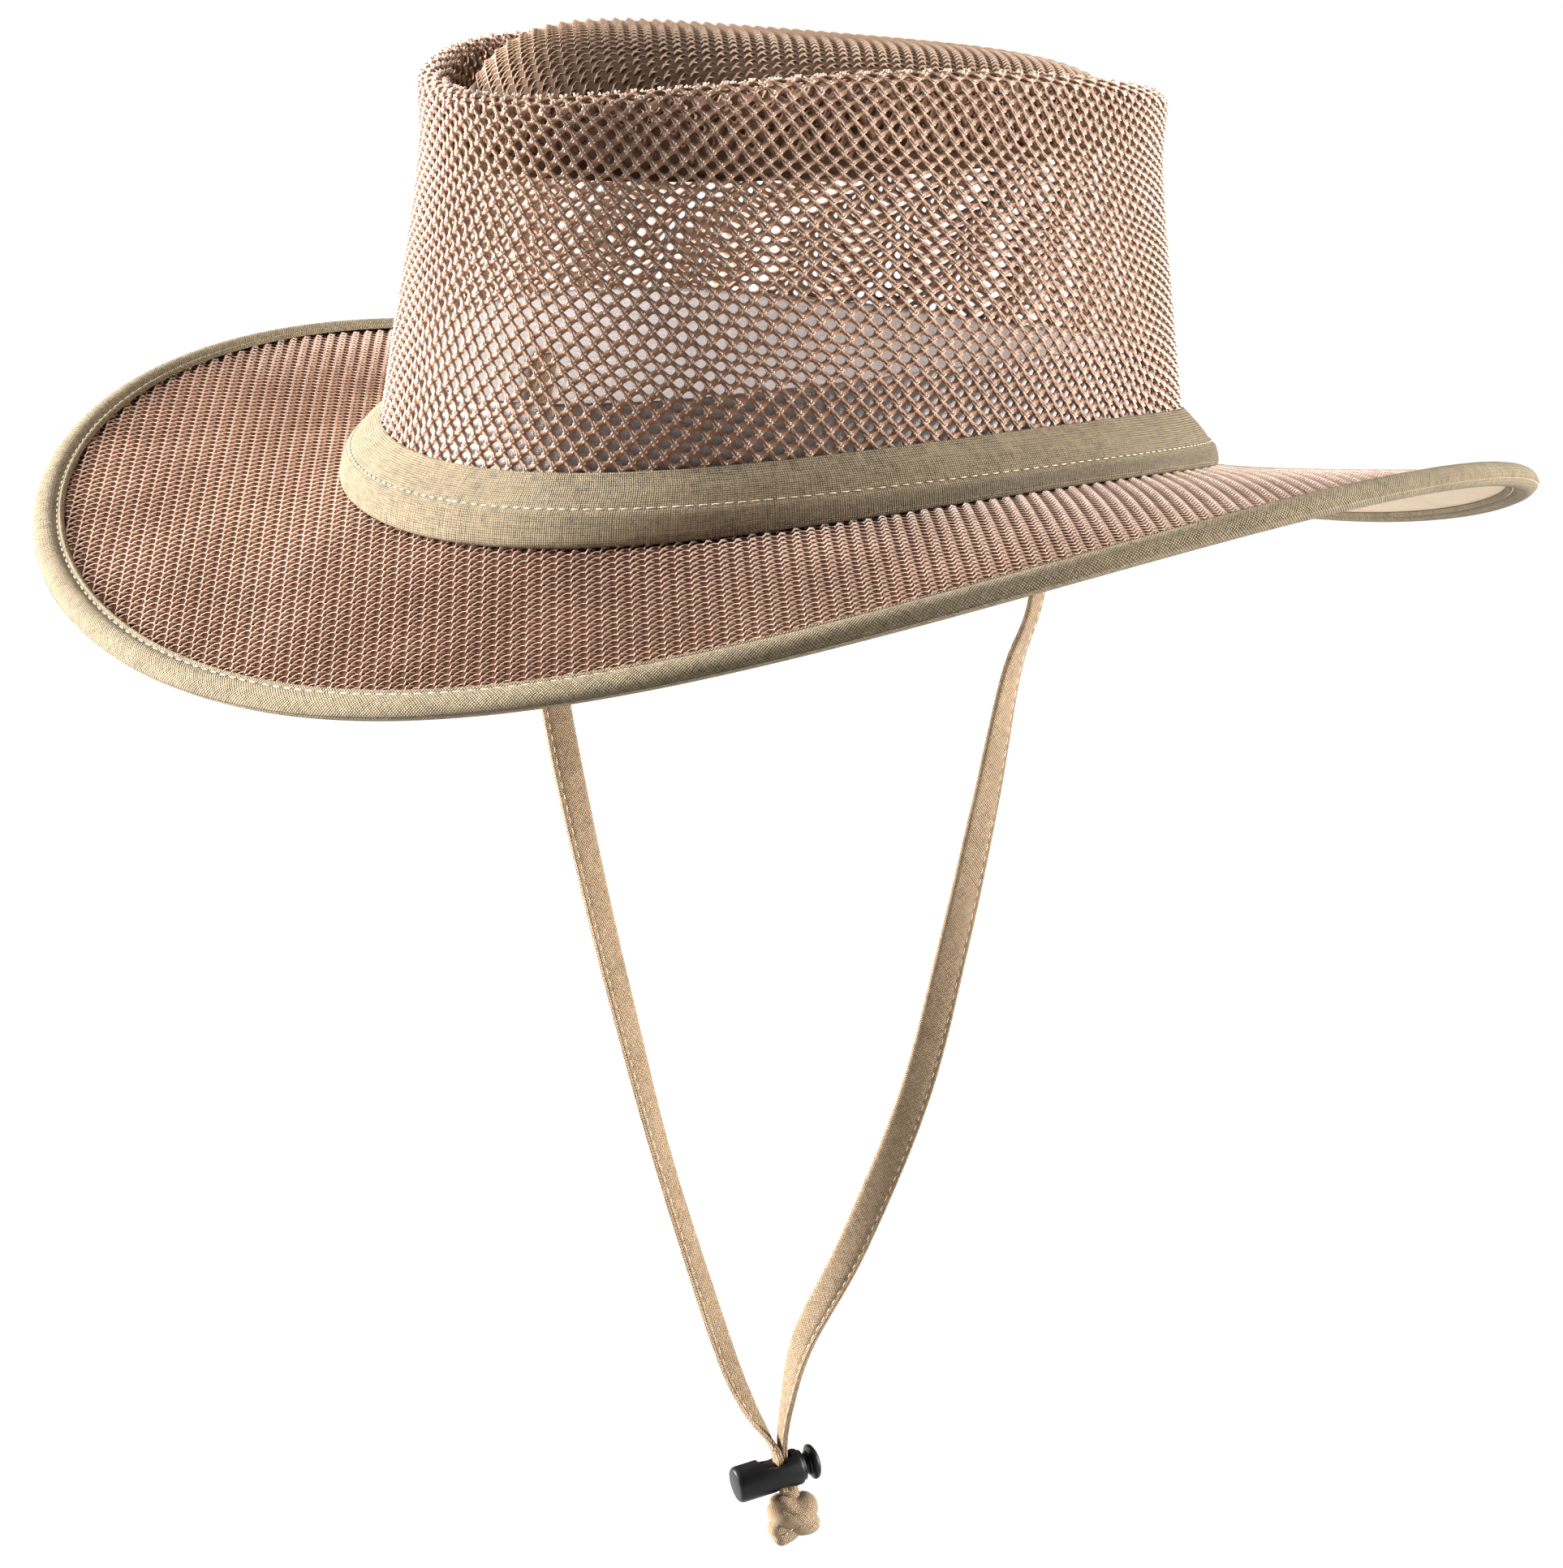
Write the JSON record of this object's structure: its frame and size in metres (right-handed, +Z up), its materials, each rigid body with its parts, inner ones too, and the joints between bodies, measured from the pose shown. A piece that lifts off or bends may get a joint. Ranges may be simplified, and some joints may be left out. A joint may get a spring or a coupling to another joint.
{
  "type": "outback hat with chin strap",
  "caption": "Outback hat with an open net crown, domed top, wide dipped brim with canvas binding, canvas band, and a folded chin strap with a sliding cord lock and knot",
  "frame": {"origin": "the middle of the head opening, at the foot of the crown, where a head holds the hat", "axes": "+Z up through the crown, -Y to the front of the hat, +X to the side"},
  "size_m": [0.3482, 0.3481, 0.3668],
  "materials": {
    "net": "open knitted net of doubled yarn, matt",
    "ribbed_mesh": "close ribbed mesh, matt",
    "canvas": "woven cotton canvas, matt, with light stitches",
    "sweatband_cloth": "plain woven cloth, matt",
    "strap_tape": "folded and stitched cloth tape, matt",
    "black_plastic": "moulded plastic, satin"
  },
  "bodies": {
    "hat": {"crown_side": "net", "crown_tip": "ribbed_mesh", "brim": "ribbed_mesh", "brim_binding": "canvas", "hat_band": "canvas", "sweatband": "sweatband_cloth", "strap_left": "strap_tape", "strap_right": "strap_tape", "toggle_barrel": "black_plastic", "strap_knot": "strap_tape"},
    "plunger": {"toggle_plunger": "black_plastic"}
  },
  "joints": [
    {"name": "plunger_press", "type": "slide", "parent": "hat", "child": "plunger", "axis": [-0.4398, -0.8707, -0.2198], "range_m": [0, 0.0015], "stiffness_N_per_m": 400, "springref_m": -0.001}
  ]
}
